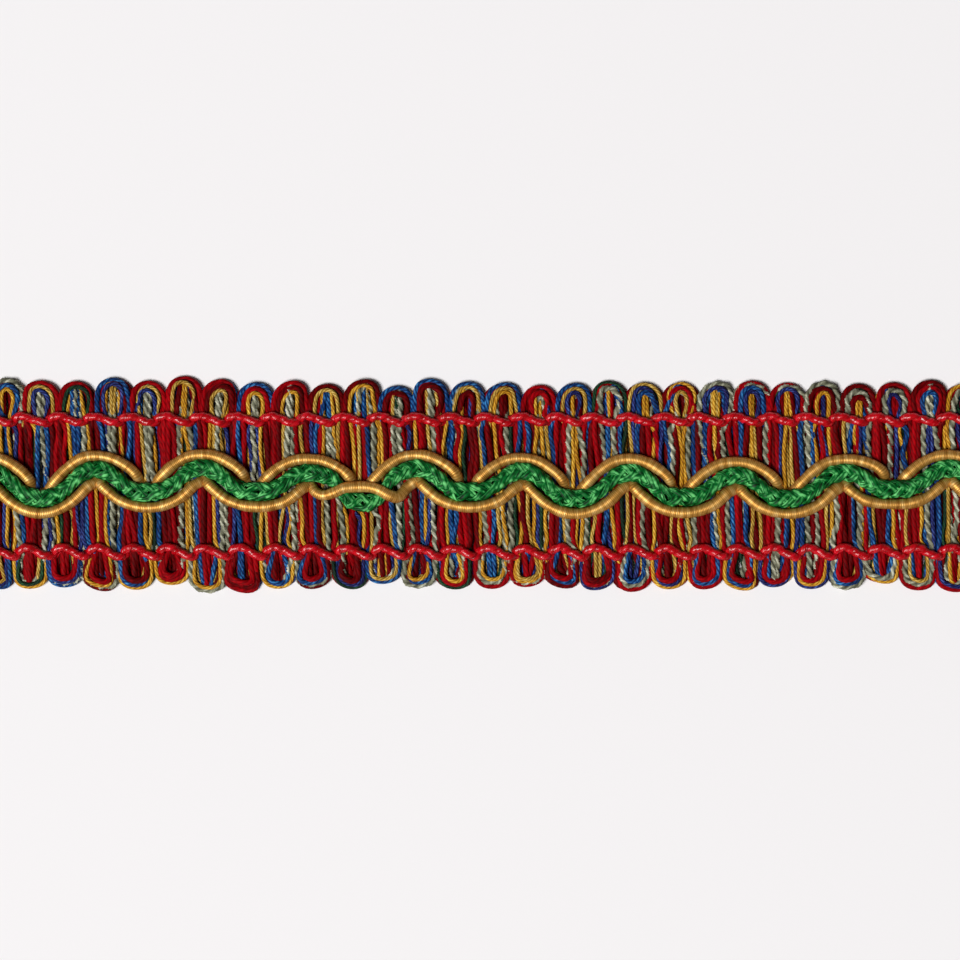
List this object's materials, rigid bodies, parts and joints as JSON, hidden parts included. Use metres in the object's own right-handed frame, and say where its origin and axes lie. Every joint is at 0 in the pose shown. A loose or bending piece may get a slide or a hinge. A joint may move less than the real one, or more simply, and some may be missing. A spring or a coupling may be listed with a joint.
{
  "type": "loop-edged gimp braid trim",
  "caption": "Flat length of loop-edged gimp braid: a multicolour weft with looped edges, red binder cords and a wavy green plait between gold gimp cords.",
  "frame": {"origin": "centre of the flat back, on the surface the trim lies on", "axes": "+X along the trim, +Y across it towards the edge that is uppermost in the picture, +Z from the back to the face"},
  "size_m": [0.152, 0.03, 0.0035],
  "materials": {
    "weft_yarn": "twisted yarns in red, blue, gold, grey and dark green",
    "binder_cord": "soft twisted red cord",
    "green_braid": "lustrous plaited green floss",
    "gold_gimp": "satin thread wound closely round a core"
  },
  "bodies": {
    "root": {"weft": "weft_yarn", "binder_upper": "binder_cord", "binder_lower": "binder_cord", "braid_green": "green_braid", "gimp_upper": "gold_gimp", "gimp_lower": "gold_gimp"}
  },
  "joints": []
}
